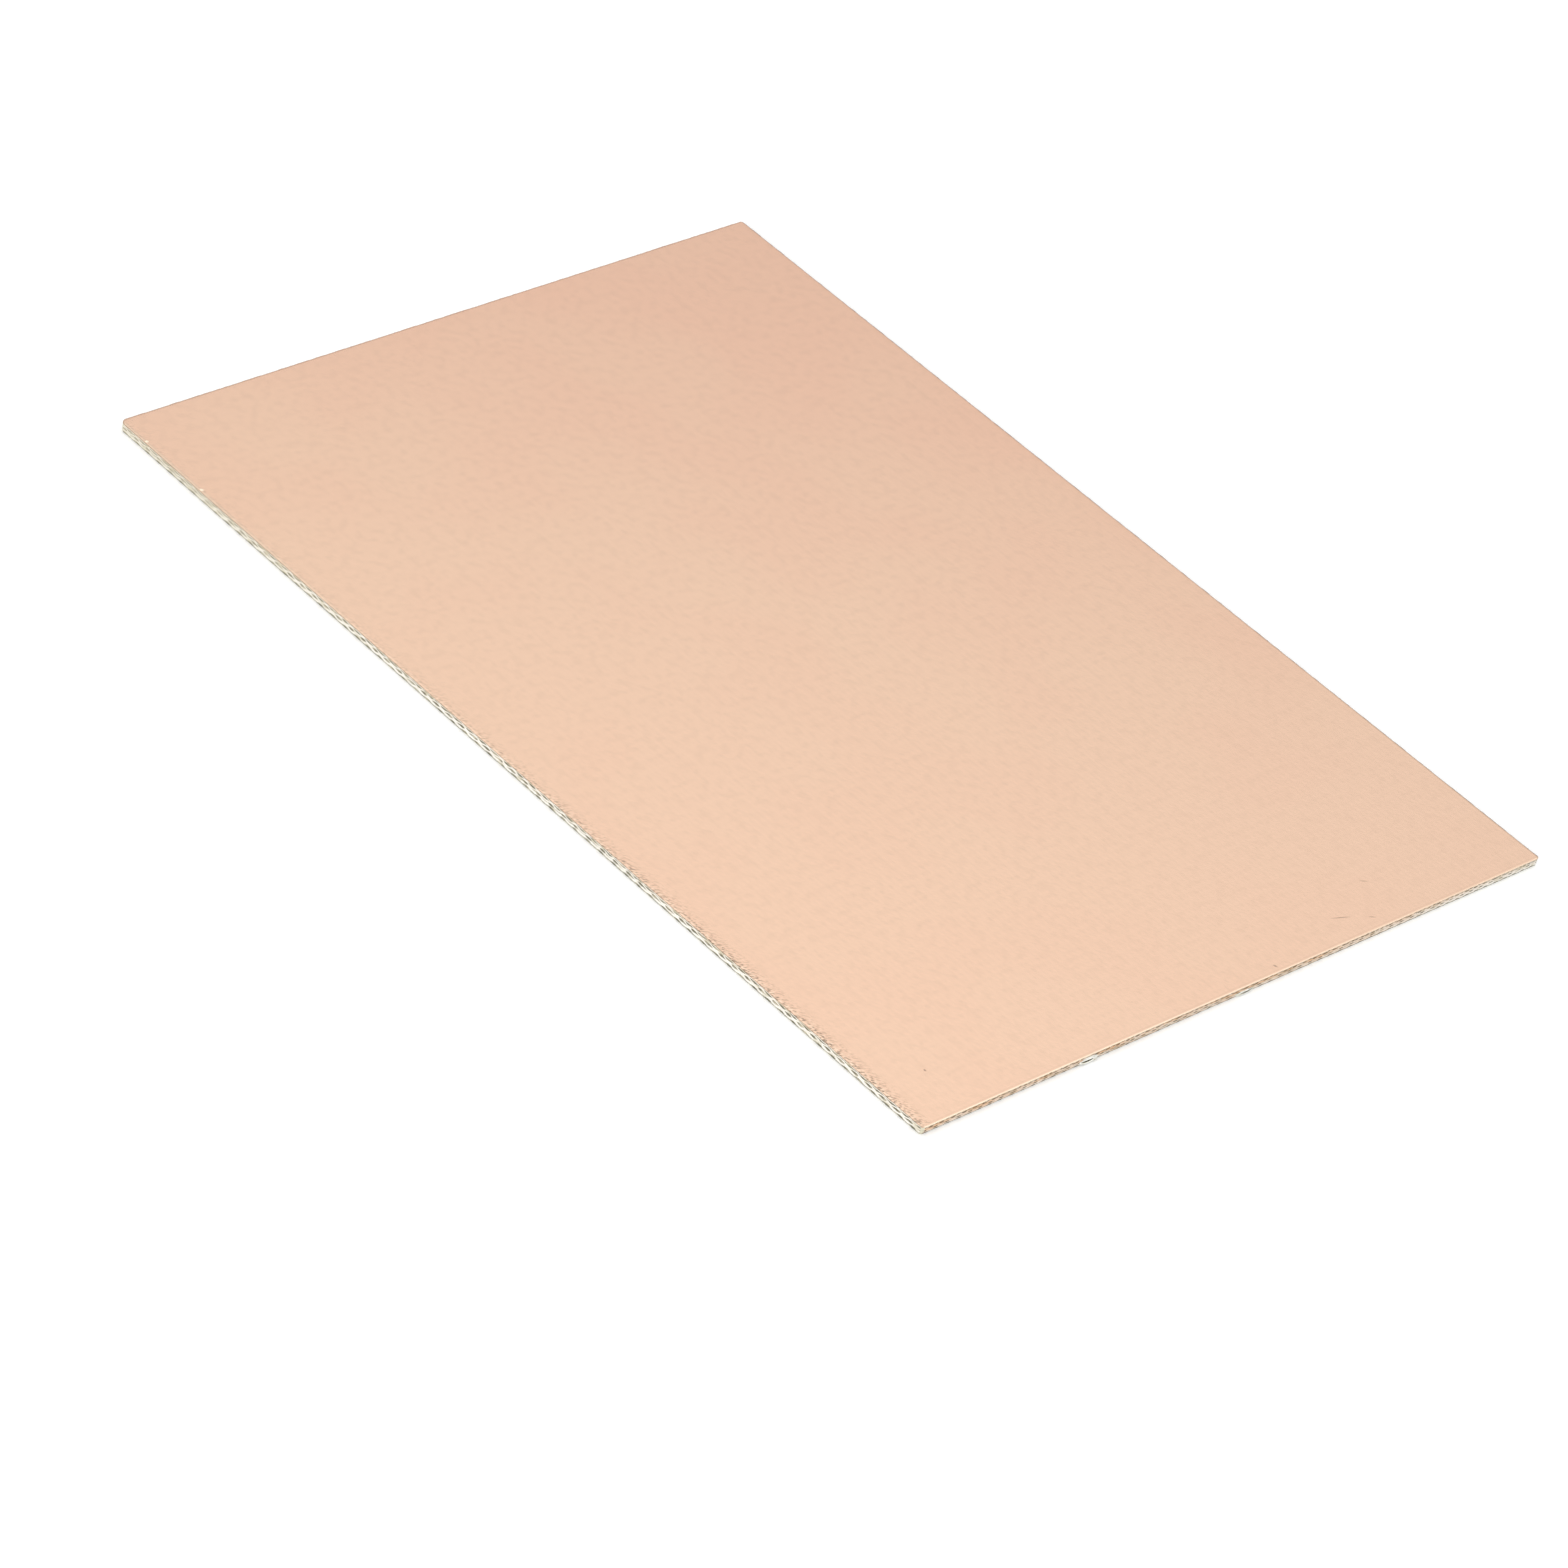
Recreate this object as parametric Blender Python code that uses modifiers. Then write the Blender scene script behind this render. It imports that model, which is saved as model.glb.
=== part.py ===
"""Copper clad board: a 100 x 70 mm circuit board blank with bare copper foil on its upper face.

The sheet is four plies of woven glass cloth in epoxy, 0.8 mm thick over all, with one ounce foil
bonded to its top. It was cut to size on a guillotine. The blade dragged the foil down over the rim in
a small roll and broke the lower part of the edge back at a slope, which is steepest where it left the
+X edge. There it also burst the plies open in two places: each is a blister of torn glass that stands
out past the rim, with a slit in it.
The board lies flat with its copper up. +X runs along the long side, +Y along the short side, and the
origin is the centre of the underside. Lengths are in metres.
"""

from collections import namedtuple
from math import copysign, pi

import bmesh
import bpy
from mathutils import Matrix, Vector

# Sheet
BOARD_LENGTH = 0.100
BOARD_WIDTH = 0.070
BOARD_THICKNESS = 0.0008
FOIL_THICKNESS = 0.000035

# Corners, seen from above: three are nearly sharp and one was knocked blunt
CORNER_RADIUS = 0.00025
BLUNT_CORNER_RADIUS = 0.0006
CORNER_SEGMENTS = 6

# Guillotined rim: the shallow roll at the top, how far the foil hangs down over it, and the broken slope
# below, by how far it steps in at the foot
ROLL_WIDTH = 0.0002
ROLL_DROP = 0.00003
ROLL_SEGMENTS = 6
FOIL_DROP = 0.000045
BREAK_HEIGHT = 0.00045
BREAK_STEP = 0.00003
UNDERCUT_BY_NEAR_CORNER = 0.00015
UNDERCUT_BY_FAR_CORNER = 0.00004

# Bursts on the +X edge, placed along it from its -Y corner. Proud is how far one stands past the rim.
TALL_BURST_FROM_CORNER = 0.0179
TALL_BURST_LENGTH = 0.0024
TALL_BURST_HEIGHT = 0.0006
TALL_BURST_FLOOR = 0.00002
TALL_BURST_PROUD = 0.00012
TALL_SLIT_LENGTH = 0.0013
TALL_SLIT_HEIGHT = 0.00016
TALL_SLIT_DEPTH = 0.0003
TALL_SLIT_RISE = 0.00008
TALL_SLIT_SHIFT = -0.0003

LOW_BURST_FROM_CORNER = 0.0353
LOW_BURST_LENGTH = 0.0026
LOW_BURST_HEIGHT = 0.0004
LOW_BURST_FLOOR = 0.00002
LOW_BURST_PROUD = 0.00008
LOW_SLIT_LENGTH = 0.0015
LOW_SLIT_HEIGHT = 0.00009
LOW_SLIT_DEPTH = 0.0002
LOW_SLIT_RISE = 0.00006
LOW_SLIT_SHIFT = 0.0002

BLISTER_DEPTH = 0.0002
ALMOND_STEPS_ROUND = 20
ALMOND_STEPS_ALONG = 20

# The foil wraps the core's rim, so the core is smaller all round by the foil
CORE_LENGTH = BOARD_LENGTH - 2 * FOIL_THICKNESS
CORE_WIDTH = BOARD_WIDTH - 2 * FOIL_THICKNESS
CORE_THICKNESS = BOARD_THICKNESS - FOIL_THICKNESS

# Finishes: linear colour, roughness, metallic
Finish = namedtuple("Finish", "name colour roughness metallic")
COPPER = Finish("electrodeposited_copper_foil", (0.888, 0.617, 0.462, 1.0), 0.34, 1.0)
LAMINATE = Finish("woven_glass_epoxy_laminate", (0.571, 0.584, 0.371, 1.0), 0.48, 0.0)

# An almond is pointed at both ends. Its middle is x out from the centre, y along the edge, z up.
Almond = namedtuple("Almond", "name x y z depth length height")
BLISTERS = (
    Almond(
        "tall_blister",
        BOARD_LENGTH / 2 + TALL_BURST_PROUD - BLISTER_DEPTH,
        TALL_BURST_FROM_CORNER - BOARD_WIDTH / 2,
        TALL_BURST_FLOOR + TALL_BURST_HEIGHT / 2,
        BLISTER_DEPTH,
        TALL_BURST_LENGTH,
        TALL_BURST_HEIGHT,
    ),
    Almond(
        "low_blister",
        BOARD_LENGTH / 2 + LOW_BURST_PROUD - BLISTER_DEPTH,
        LOW_BURST_FROM_CORNER - BOARD_WIDTH / 2,
        LOW_BURST_FLOOR + LOW_BURST_HEIGHT / 2,
        BLISTER_DEPTH,
        LOW_BURST_LENGTH,
        LOW_BURST_HEIGHT,
    ),
)
SLITS = (
    Almond(
        "tall_slit",
        BOARD_LENGTH / 2 + TALL_BURST_PROUD,
        BLISTERS[0].y + TALL_SLIT_SHIFT,
        BLISTERS[0].z + TALL_SLIT_RISE,
        TALL_SLIT_DEPTH,
        TALL_SLIT_LENGTH,
        TALL_SLIT_HEIGHT,
    ),
    Almond(
        "low_slit",
        BOARD_LENGTH / 2 + LOW_BURST_PROUD,
        BLISTERS[1].y + LOW_SLIT_SHIFT,
        BLISTERS[1].z + LOW_SLIT_RISE,
        LOW_SLIT_DEPTH,
        LOW_SLIT_LENGTH,
        LOW_SLIT_HEIGHT,
    ),
)


def clear_scene():
    for obj in list(bpy.data.objects):
        bpy.data.objects.remove(obj, do_unlink=True)


def new_collection(name):
    collection = bpy.data.collections.new(name)
    bpy.context.scene.collection.children.link(collection)
    return collection


def new_object(name, bm, collection):
    """Turns the bmesh into an object of the collection, and frees it."""
    mesh = bpy.data.meshes.new(name)
    bm.to_mesh(mesh)
    bm.free()
    obj = bpy.data.objects.new(name, mesh)
    collection.objects.link(obj)
    return obj


def give_material(obj, finish):
    material = bpy.data.materials.new(finish.name)
    material.use_nodes = True
    shader = material.node_tree.nodes["Principled BSDF"]
    shader.inputs["Base Color"].default_value = finish.colour
    shader.inputs["Roughness"].default_value = finish.roughness
    shader.inputs["Metallic"].default_value = finish.metallic
    obj.data.materials.append(material)


def upright_edge(bm, side_x, side_y):
    """The block's upright edge at the corner on these sides, each -1 or 1."""

    def at_corner(edge):
        return all(v.co.x * side_x > 0 and v.co.y * side_y > 0 for v in edge.verts)

    return next(edge for edge in bm.edges if at_corner(edge))


def sheet_block():
    """The core's block with its four corners rounded in plan."""
    bm = bmesh.new()
    bmesh.ops.create_cube(
        bm,
        size=1,
        matrix=Matrix.Translation((0, 0, CORE_THICKNESS / 2))
        @ Matrix.Diagonal((CORE_LENGTH, CORE_WIDTH, CORE_THICKNESS, 1)),
    )
    radii = {(x, y): CORNER_RADIUS for x in (-1, 1) for y in (-1, 1)}
    radii[-1, -1] = BLUNT_CORNER_RADIUS
    uprights = {sides: upright_edge(bm, *sides) for sides in radii}
    for sides, upright in uprights.items():
        bmesh.ops.bevel(
            bm,
            geom=[upright],
            offset=radii[sides],
            segments=CORNER_SEGMENTS,
            profile=0.5,
            affect="EDGES",
        )
    return bm


def roll_top_rim(bm):
    """Rounds the rim between the top and the sides, then flattens it to the roll that the blade leaves."""
    top = max(bm.faces, key=lambda face: face.calc_center_median().z)
    bmesh.ops.bevel(
        bm,
        geom=list(top.edges),
        offset=ROLL_WIDTH,
        segments=ROLL_SEGMENTS,
        profile=0.5,
        affect="EDGES",
    )
    for vert in bm.verts:
        if vert.co.z > CORE_THICKNESS / 2:
            vert.co.z = CORE_THICKNESS - (CORE_THICKNESS - vert.co.z) * ROLL_DROP / ROLL_WIDTH


def break_lower_edge(bm):
    """Slopes the sides in below the break line, where the plies tore instead of being cut."""
    bmesh.ops.bisect_plane(
        bm,
        geom=bm.verts[:] + bm.edges[:] + bm.faces[:],
        plane_co=(0, 0, BREAK_HEIGHT),
        plane_no=(0, 0, 1),
    )
    underside = min(bm.faces, key=lambda face: face.calc_center_median().z)
    for vert in underside.verts:
        along = 0.5 + vert.co.y / CORE_WIDTH
        undercut = UNDERCUT_BY_NEAR_CORNER * (1 - along) + UNDERCUT_BY_FAR_CORNER * along
        vert.co.x += -undercut if vert.co.x > 0 else BREAK_STEP
        vert.co.y -= copysign(BREAK_STEP, vert.co.y)


def foil_surface(block):
    """A copy of the block's top and rolled rim, which is what the foil is bonded to."""
    bm = block.copy()
    bmesh.ops.bisect_plane(
        bm,
        geom=bm.verts[:] + bm.edges[:] + bm.faces[:],
        plane_co=(0, 0, CORE_THICKNESS - FOIL_DROP),
        plane_no=(0, 0, 1),
        clear_inner=True,
    )
    return bm


def add_almond(almond, collection):
    """A round form that narrows to a point at both ends, lying along the +X edge."""
    bm = bmesh.new()
    bmesh.ops.create_uvsphere(
        bm,
        u_segments=ALMOND_STEPS_ROUND,
        v_segments=ALMOND_STEPS_ALONG,
        radius=1,
        matrix=Matrix.Rotation(pi / 2, 4, "X"),
    )
    for vert in bm.verts:
        taper = max(0.0, 1 - vert.co.y**2) ** 0.5
        vert.co.x *= taper
        vert.co.z *= taper
    half_size = (almond.depth, almond.length / 2, almond.height / 2)
    bmesh.ops.scale(bm, vec=half_size, verts=bm.verts[:])
    obj = new_object(almond.name, bm, collection)
    obj.location = (almond.x, almond.y, almond.z)
    obj.hide_render = True
    obj.display_type = "WIRE"
    return obj


def add_core(block, collection, cutters):
    core = new_object("glass_epoxy_core", block, collection)
    give_material(core, LAMINATE)
    for operation, almonds in (("UNION", BLISTERS), ("DIFFERENCE", SLITS)):
        for almond in almonds:
            burst = core.modifiers.new(almond.name, "BOOLEAN")
            burst.operation = operation
            burst.object = add_almond(almond, cutters)
    return core


def add_foil(surface, collection):
    foil = new_object("copper_foil", surface, collection)
    give_material(foil, COPPER)
    wall = foil.modifiers.new("foil_thickness", "SOLIDIFY")
    wall.thickness = FOIL_THICKNESS
    wall.offset = 1
    wall.use_even_offset = True
    return foil


def main():
    clear_scene()
    board = new_collection("copper_clad_board")
    cutters = new_collection("cutters")
    cutters.hide_render = True

    block = sheet_block()
    roll_top_rim(block)
    add_foil(foil_surface(block), board)
    break_lower_edge(block)
    add_core(block, board, cutters)


main()
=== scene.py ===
"""Dresses a copper clad board: satin copper foil on a sheared sheet of woven glass cloth and epoxy.

The foil is rebuilt with the rim that a guillotine drags down. The four cut edges get the yarns of the
glass cloth, those that run along the cut and those that it severed, and the two bursts get loose glass.
"""

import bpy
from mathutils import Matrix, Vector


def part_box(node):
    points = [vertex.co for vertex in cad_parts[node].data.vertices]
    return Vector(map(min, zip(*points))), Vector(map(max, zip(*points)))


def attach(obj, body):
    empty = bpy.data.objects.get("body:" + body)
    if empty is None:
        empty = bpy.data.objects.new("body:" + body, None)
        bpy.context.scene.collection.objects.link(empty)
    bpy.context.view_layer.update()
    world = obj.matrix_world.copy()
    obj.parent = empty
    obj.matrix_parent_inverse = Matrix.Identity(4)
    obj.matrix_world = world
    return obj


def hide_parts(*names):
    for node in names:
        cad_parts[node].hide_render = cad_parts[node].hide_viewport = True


bl_info = {
    "name": "Copper clad board",
    "version": (1, 0, 0),
    "blender": (4, 5, 0),
    "location": "3D Viewport > Sidebar > Board",
    "description": "Finishes a circuit board blank: copper foil, sheared glass yarns and a studio",
    "category": "Object",
}

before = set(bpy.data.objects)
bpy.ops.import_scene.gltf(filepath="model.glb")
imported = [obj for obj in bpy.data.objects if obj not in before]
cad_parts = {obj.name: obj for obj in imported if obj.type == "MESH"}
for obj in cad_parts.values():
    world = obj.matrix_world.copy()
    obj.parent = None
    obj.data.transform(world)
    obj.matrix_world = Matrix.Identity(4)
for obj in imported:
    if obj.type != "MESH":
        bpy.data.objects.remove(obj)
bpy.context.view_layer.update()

import random
from collections import namedtuple
from math import cos, pi, radians, sin, tau

import bmesh
import bpy
from bpy.props import FloatProperty, FloatVectorProperty, IntProperty, PointerProperty
from mathutils import Matrix, Vector

MM = 0.001

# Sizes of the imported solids
FOIL_LOW, FOIL_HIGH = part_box("copper_foil")
CORE_LOW, CORE_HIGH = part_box("glass_epoxy_core")
BOARD_LENGTH = FOIL_HIGH.x - FOIL_LOW.x
BOARD_WIDTH = FOIL_HIGH.y - FOIL_LOW.y
BOARD_TOP = FOIL_HIGH.z
FOIL_THICKNESS = BOARD_TOP - CORE_HIGH.z
RIM_FOOT = FOIL_LOW.z
CORE_HALF_LENGTH = -CORE_LOW.x
CORE_HALF_WIDTH = -CORE_LOW.y
BURST_REACH = CORE_HIGH.x

# As in the solids: the board's outline, its rolled rim, and the broken slope on the lower part of its
# edges
CORNER_RADIUS = 0.25 * MM + FOIL_THICKNESS
BLUNT_CORNER_RADIUS = 0.6 * MM + FOIL_THICKNESS
ROLL_WIDTH = 0.2 * MM + FOIL_THICKNESS
ROLL_DROP = 0.03 * MM + FOIL_THICKNESS
BREAK_HEIGHT = 0.45 * MM
BREAK_STEP = 0.03 * MM
UNDERCUT_BY_NEAR_CORNER = 0.15 * MM
UNDERCUT_BY_FAR_CORNER = 0.04 * MM

# How far apart the yarns lie that each edge severs. The photo shows about 130 and 122 of them.
YARNS_ALONG_LONG_EDGE = 0.767 * MM
YARNS_ALONG_SHORT_EDGE = 0.574 * MM

# How near a cut's plane a vertex counts as on it, and how near each other two vertices are welded where
# the waves of a yarn meet
CUT_THRESHOLD = 0.0001 * MM
WELD_DISTANCE = 0.001 * MM


def linear(hex_colour):
    """An sRGB colour such as "F0CDB2" as linear red, green and blue."""
    channels = [int(hex_colour[i : i + 2], 16) / 255 for i in (0, 2, 4)]
    return [c / 12.92 if c <= 0.04045 else ((c + 0.055) / 1.055) ** 2.4 for c in channels]


def colour_property(name, description, hex_colour):
    return FloatVectorProperty(
        name=name,
        description=description,
        subtype="COLOR",
        size=3,
        min=0.0,
        max=1.0,
        default=linear(hex_colour),
    )


class FoilSettings(bpy.types.PropertyGroup):
    colour: colour_property("Copper", "Clean copper foil in the middle of the sheet", "EDC9AF")
    # Rosy copper: random blotches, and painted shade towards the far left corner
    warm_colour: colour_property("Rosy copper", "Blotches that are a shade redder", "EDC3AA")
    # Scuffed and worn copper, also used as painted shade: the shadow side of the scuff strokes and a
    # band inside the short near rim
    scuff_and_shade_colour: colour_property("Scuffs", "Copper that the shear's clamp has scuffed", "8C7866")
    # Painted highlight: the cream line along the short near rim, the light side of the scuff strokes and
    # the glints on the lip
    painted_highlight_colour: colour_property("Rim", "Copper that the blade has burnished", "FBE9D0")
    torn_colour: colour_property("Torn rim", "Lip so torn that glass shows through it", "BDB4A2")
    roughness: FloatProperty(
        name="Roughness",
        description="How satin the copper is",
        default=0.25,
        min=0.05,
        max=1.0,
    )
    rim_steps: IntProperty(
        name="Rim steps",
        description="Steps along each edge of the rim",
        default=400,
        min=40,
        max=800,
    )
    drag: FloatProperty(
        name="Drag",
        description="How unevenly the foil's lip hangs over the cut",
        default=0.05 * MM,
        min=0.0,
        max=0.1 * MM,
        subtype="DISTANCE",
        precision=6,
    )
    bite: FloatProperty(
        name="Bite",
        description="How far the nicks of the blade go into the foil's lip",
        default=0.04 * MM,
        min=0.0,
        max=0.1 * MM,
        subtype="DISTANCE",
        precision=6,
    )


class YarnSettings(bpy.types.PropertyGroup):
    fibre_colour: colour_property("Torn glass", "Glass fibres that stand free of the epoxy", "FEFDF6")
    wet_colour: colour_property("Bonded glass", "Glass fibres that epoxy still coats", "D9D3BC")
    # Cut ends, also used as painted shade inside the bursts' slits
    cut_end_and_shade_colour: colour_property("Cut ends", "Yarns that the blade severed", "6E6B56")
    # Grey of glass bundles, also used as painted shade along the foot of the cut and the lower edge of
    # the loose glass
    bundle_and_foot_shade_colour: colour_property("Foot", "Dull glass at the foot of the cut", "A6A497")
    resin_colour: colour_property("Epoxy", "Epoxy of the sheet", "C2C39A")
    # Copper dust on the cut, and the painted reflection of copper-coloured light on the right edge
    dust_and_reflection_colour: colour_property("Smear", "Copper dust that the blade smeared on the cut", "E4B58C")
    # Painted shadow under the foil's lip
    lip_shadow_colour: colour_property("Dust", "The same dust where it lies thick", "8A7256")
    proud: FloatProperty(
        name="Proud",
        description="How far the yarns stand out of the cut",
        default=0.026 * MM,
        min=0.0,
        max=0.03 * MM,
        subtype="DISTANCE",
        precision=6,
    )
    wander: FloatProperty(
        name="Wander",
        description="How far the rows of yarn stray up and down",
        default=0.05 * MM,
        min=0.0,
        max=0.08 * MM,
        subtype="DISTANCE",
        precision=6,
    )
    stretch: FloatProperty(
        name="Stretch",
        description="How much the waves of a yarn differ in length",
        default=0.5 * MM,
        min=0.0,
        max=1.0 * MM,
        subtype="DISTANCE",
        precision=6,
    )


class StudioSettings(bpy.types.PropertyGroup):
    lens: FloatProperty(name="Lens", description="Focal length in millimetres", default=161.57)
    azimuth: FloatProperty(
        name="Azimuth",
        description="Camera's direction round the board",
        default=radians(39.42),
        subtype="ANGLE",
    )
    elevation: FloatProperty(
        name="Elevation",
        description="Camera's height above the horizon",
        default=radians(36.475),
        subtype="ANGLE",
    )
    roll: FloatProperty(
        name="Roll",
        description="Camera's tilt to the left",
        default=radians(14.55),
        subtype="ANGLE",
    )
    distance: FloatProperty(
        name="Distance",
        description="From the camera to the point that it looks at",
        default=0.55998,
        subtype="DISTANCE",
    )
    aim: FloatVectorProperty(
        name="Aim",
        description="Point on the copper face that the camera looks at",
        default=(13.141 * MM, -16.374 * MM, BOARD_TOP),
        subtype="TRANSLATION",
    )
    floor_colour: colour_property("Floor", "White paper sweep", "F6F6F5")
    dome_low: FloatProperty(
        name="Dome",
        description="Brightness of most of the soft light round the board",
        default=0.68,
        min=0.0,
        max=2.0,
    )
    dome_high: FloatProperty(
        name="Dome top",
        description="Brightness of the part of the dome that the copper mirrors",
        default=1.31,
        min=0.0,
        max=2.0,
    )


# One row of yarn for each ply: its middle, the height of the running yarn, how far that swings up and
# down over the severed ones, how high those are, and how much longer its waves are than the cloth's
# usual ones
Row = namedtuple("Row", "z height swing severed_height drift")
# The second row was torn open most
TORN_ROWS = (
    Row(0.07 * MM, 0.07 * MM, 0.01 * MM, 0.05 * MM, 0.99),
    Row(0.25 * MM, 0.24 * MM, 0.06 * MM, 0.19 * MM, 1.0),
    Row(0.49 * MM, 0.13 * MM, 0.07 * MM, 0.22 * MM, 1.03),
    Row(0.67 * MM, 0.09 * MM, 0.02 * MM, 0.1 * MM, 0.97),
)
# Cut cleaner, with only the top row laid open
CLEAN_ROWS = (
    Row(0.08 * MM, 0.12 * MM, 0.01 * MM, 0.04 * MM, 0.99),
    Row(0.27 * MM, 0.24 * MM, 0.03 * MM, 0.08 * MM, 1.0),
    Row(0.49 * MM, 0.16 * MM, 0.03 * MM, 0.12 * MM, 1.03),
    Row(0.65 * MM, 0.05 * MM, 0.02 * MM, 0.18 * MM, 0.97),
)

# A cut edge of the laminate, seen from outside: its turn from the front one, half its length, its
# distance from the board's middle, how far apart the severed yarns lie in it, the radius of the corners
# at its left and right end, how far the broken slope steps in there, and its rows
Side = namedtuple("Side", "name turn half_run half_across spacing corners steps rows")
EVEN_STEPS = (BREAK_STEP, BREAK_STEP)
LONG = (CORE_HALF_LENGTH, CORE_HALF_WIDTH, YARNS_ALONG_LONG_EDGE)
SHORT = (CORE_HALF_WIDTH, CORE_HALF_LENGTH, YARNS_ALONG_SHORT_EDGE)
SIDES = (
    Side("front", 0.0, *LONG, (BLUNT_CORNER_RADIUS, CORNER_RADIUS), EVEN_STEPS, TORN_ROWS),
    Side(
        "right",
        pi / 2,
        *SHORT,
        (CORNER_RADIUS, CORNER_RADIUS),
        (UNDERCUT_BY_NEAR_CORNER, UNDERCUT_BY_FAR_CORNER),
        CLEAN_ROWS,
    ),
    Side("back", pi, *LONG, (CORNER_RADIUS, CORNER_RADIUS), EVEN_STEPS, TORN_ROWS),
    Side("left", -pi / 2, *SHORT, (CORNER_RADIUS, BLUNT_CORNER_RADIUS), EVEN_STEPS, TORN_ROWS),
)


def deselect_all():
    if bpy.context.object and bpy.context.object.mode != "OBJECT":
        bpy.ops.object.mode_set(mode="OBJECT")
    bpy.ops.object.select_all(action="DESELECT")


def start_edit():
    bpy.ops.object.mode_set(mode="EDIT")
    bpy.ops.mesh.select_all(action="DESELECT")


def select_where(kind, test):
    """In edit mode, selects only the verts, edges or faces that pass the test."""
    mesh = bpy.context.object.data
    modes = [kind == name for name in ("verts", "edges", "faces")]
    bpy.context.tool_settings.mesh_select_mode = modes
    bpy.ops.mesh.select_all(action="DESELECT")
    shape = bmesh.from_edit_mesh(mesh)
    for item in getattr(shape, kind):
        if test(item):
            item.select_set(True)
    shape.select_flush_mode()
    bmesh.update_edit_mesh(mesh)


def apply_modifier(kind, **settings):
    """Adds a modifier to the active object and applies it."""
    modifier = bpy.context.object.modifiers.new(kind.lower(), kind)
    for name, value in settings.items():
        setattr(modifier, name, value)
    bpy.ops.object.modifier_apply(modifier=modifier.name)


def apply_place():
    bpy.ops.object.transform_apply(location=True, rotation=True, scale=True)


def cloud_texture(name, size):
    """Soft noise whose lumps are about this long."""
    texture = bpy.data.textures.new(name, "CLOUDS")
    texture.noise_scale = size
    texture.noise_depth = 2
    return texture


def dress(piece, name, material):
    """Names a finished piece, gives it its material and hands it to the frame."""
    piece.name = name
    piece.data.name = name
    piece.data.materials.clear()
    piece.data.materials.append(material)
    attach(piece, "root")


def add_node(tree, kind, inputs=None, **settings):
    """Adds a node with its settings. An input is a value, or the socket that feeds it."""
    node = tree.nodes.new(kind)
    for name, value in settings.items():
        setattr(node, name, value)
    for socket, value in (inputs or {}).items():
        if isinstance(value, bpy.types.NodeSocket):
            tree.links.new(value, node.inputs[socket])
        else:
            node.inputs[socket].default_value = value
    return node


def new_material(name, metallic=0.0, roughness=0.5):
    """A material, its node tree, its shader, and Object coordinates in millimetres."""
    material = bpy.data.materials.new(name)
    material.use_nodes = True
    tree = material.node_tree
    shader = tree.nodes["Principled BSDF"]
    shader.inputs["Metallic"].default_value = metallic
    shader.inputs["Roughness"].default_value = roughness
    coordinates = add_node(tree, "ShaderNodeTexCoord", name="coordinates")
    in_mm = add_node(
        tree,
        "ShaderNodeVectorMath",
        {0: coordinates.outputs["Object"], "Scale": 1 / MM},
        operation="SCALE",
    )
    return material, tree, shader, in_mm.outputs[0]


def opaque(colour):
    return (*colour, 1.0)


def mix_colours(tree, factor, first, second):
    mix = add_node(
        tree,
        "ShaderNodeMix",
        {0: factor, 6: first, 7: second},
        data_type="RGBA",
    )
    return mix.outputs[2]


def ramp_between(tree, value, low, high, to_low=0.0, to_high=1.0):
    """Runs smoothly from to_low to to_high as the value goes from low to high."""
    return add_node(
        tree,
        "ShaderNodeMapRange",
        {0: value, 1: low, 2: high, 3: to_low, 4: to_high},
        interpolation_type="SMOOTHSTEP",
    ).outputs[0]


def times(tree, first, second):
    return add_node(tree, "ShaderNodeMath", {0: first, 1: second}, operation="MULTIPLY").outputs[0]


def larger(tree, first, second):
    return add_node(tree, "ShaderNodeMath", {0: first, 1: second}, operation="MAXIMUM").outputs[0]


def clamped_sum(tree, first, second):
    """The sum of two values, held between 0 and 1."""
    inputs = {0: first, 1: second}
    return add_node(tree, "ShaderNodeMath", inputs, operation="ADD", use_clamp=True).outputs[0]


def noise(tree, in_mm, scale, detail):
    """Soft noise from 0 to 1, with this many lumps per millimetre along X, Y and Z."""
    scaled = add_node(
        tree,
        "ShaderNodeVectorMath",
        {0: in_mm, 1: scale},
        operation="MULTIPLY",
    ).outputs[0]
    inputs = {"Vector": scaled, "Scale": 1.0, "Detail": detail}
    return add_node(tree, "ShaderNodeTexNoise", inputs).outputs["Fac"]


def weave_relief(tree, in_mm):
    """Yarns of the cloth under a skin: 1 on top of a crossing, 0 in the dimple between four of them."""
    ridges = []
    for direction, spacing in (("X", YARNS_ALONG_LONG_EDGE), ("Y", YARNS_ALONG_SHORT_EDGE)):
        # A wave texture repeats every tau / 20 of its own units
        wave = add_node(
            tree,
            "ShaderNodeTexWave",
            {
                "Vector": in_mm,
                "Scale": tau / 20 / (spacing / MM),
                "Distortion": 0.8,
                "Detail": 1.0,
                "Detail Scale": 0.3,
            },
            wave_type="BANDS",
            bands_direction=direction,
            wave_profile="SIN",
        )
        ridges.append(wave.outputs["Fac"])
    return times(tree, *ridges)


# Marks on the copper face: place, length and width in millimetres, angle in degrees
Mark = namedtuple("Mark", "x y length width angle")
SCRATCHES = (
    Mark(47.5, 13.7, 2.3, 0.16, 69),
    Mark(48.7, 16.2, 0.8, 0.16, 56),
    Mark(45.05, 18.9, 1.0, 0.14, 58),
)
# Painted glints, where the lip was lifted and catches the light
GLINTS = (
    Mark(-46.6, -34.75, 0.4, 0.4, 30),
    Mark(-39.2, -34.75, 0.45, 0.4, 30),
)
STAINS = (
    Mark(49.3, 4.3, 0.5, 0.22, 20),
    Mark(45.0, -30.2, 0.35, 0.25, 0),
)


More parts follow.
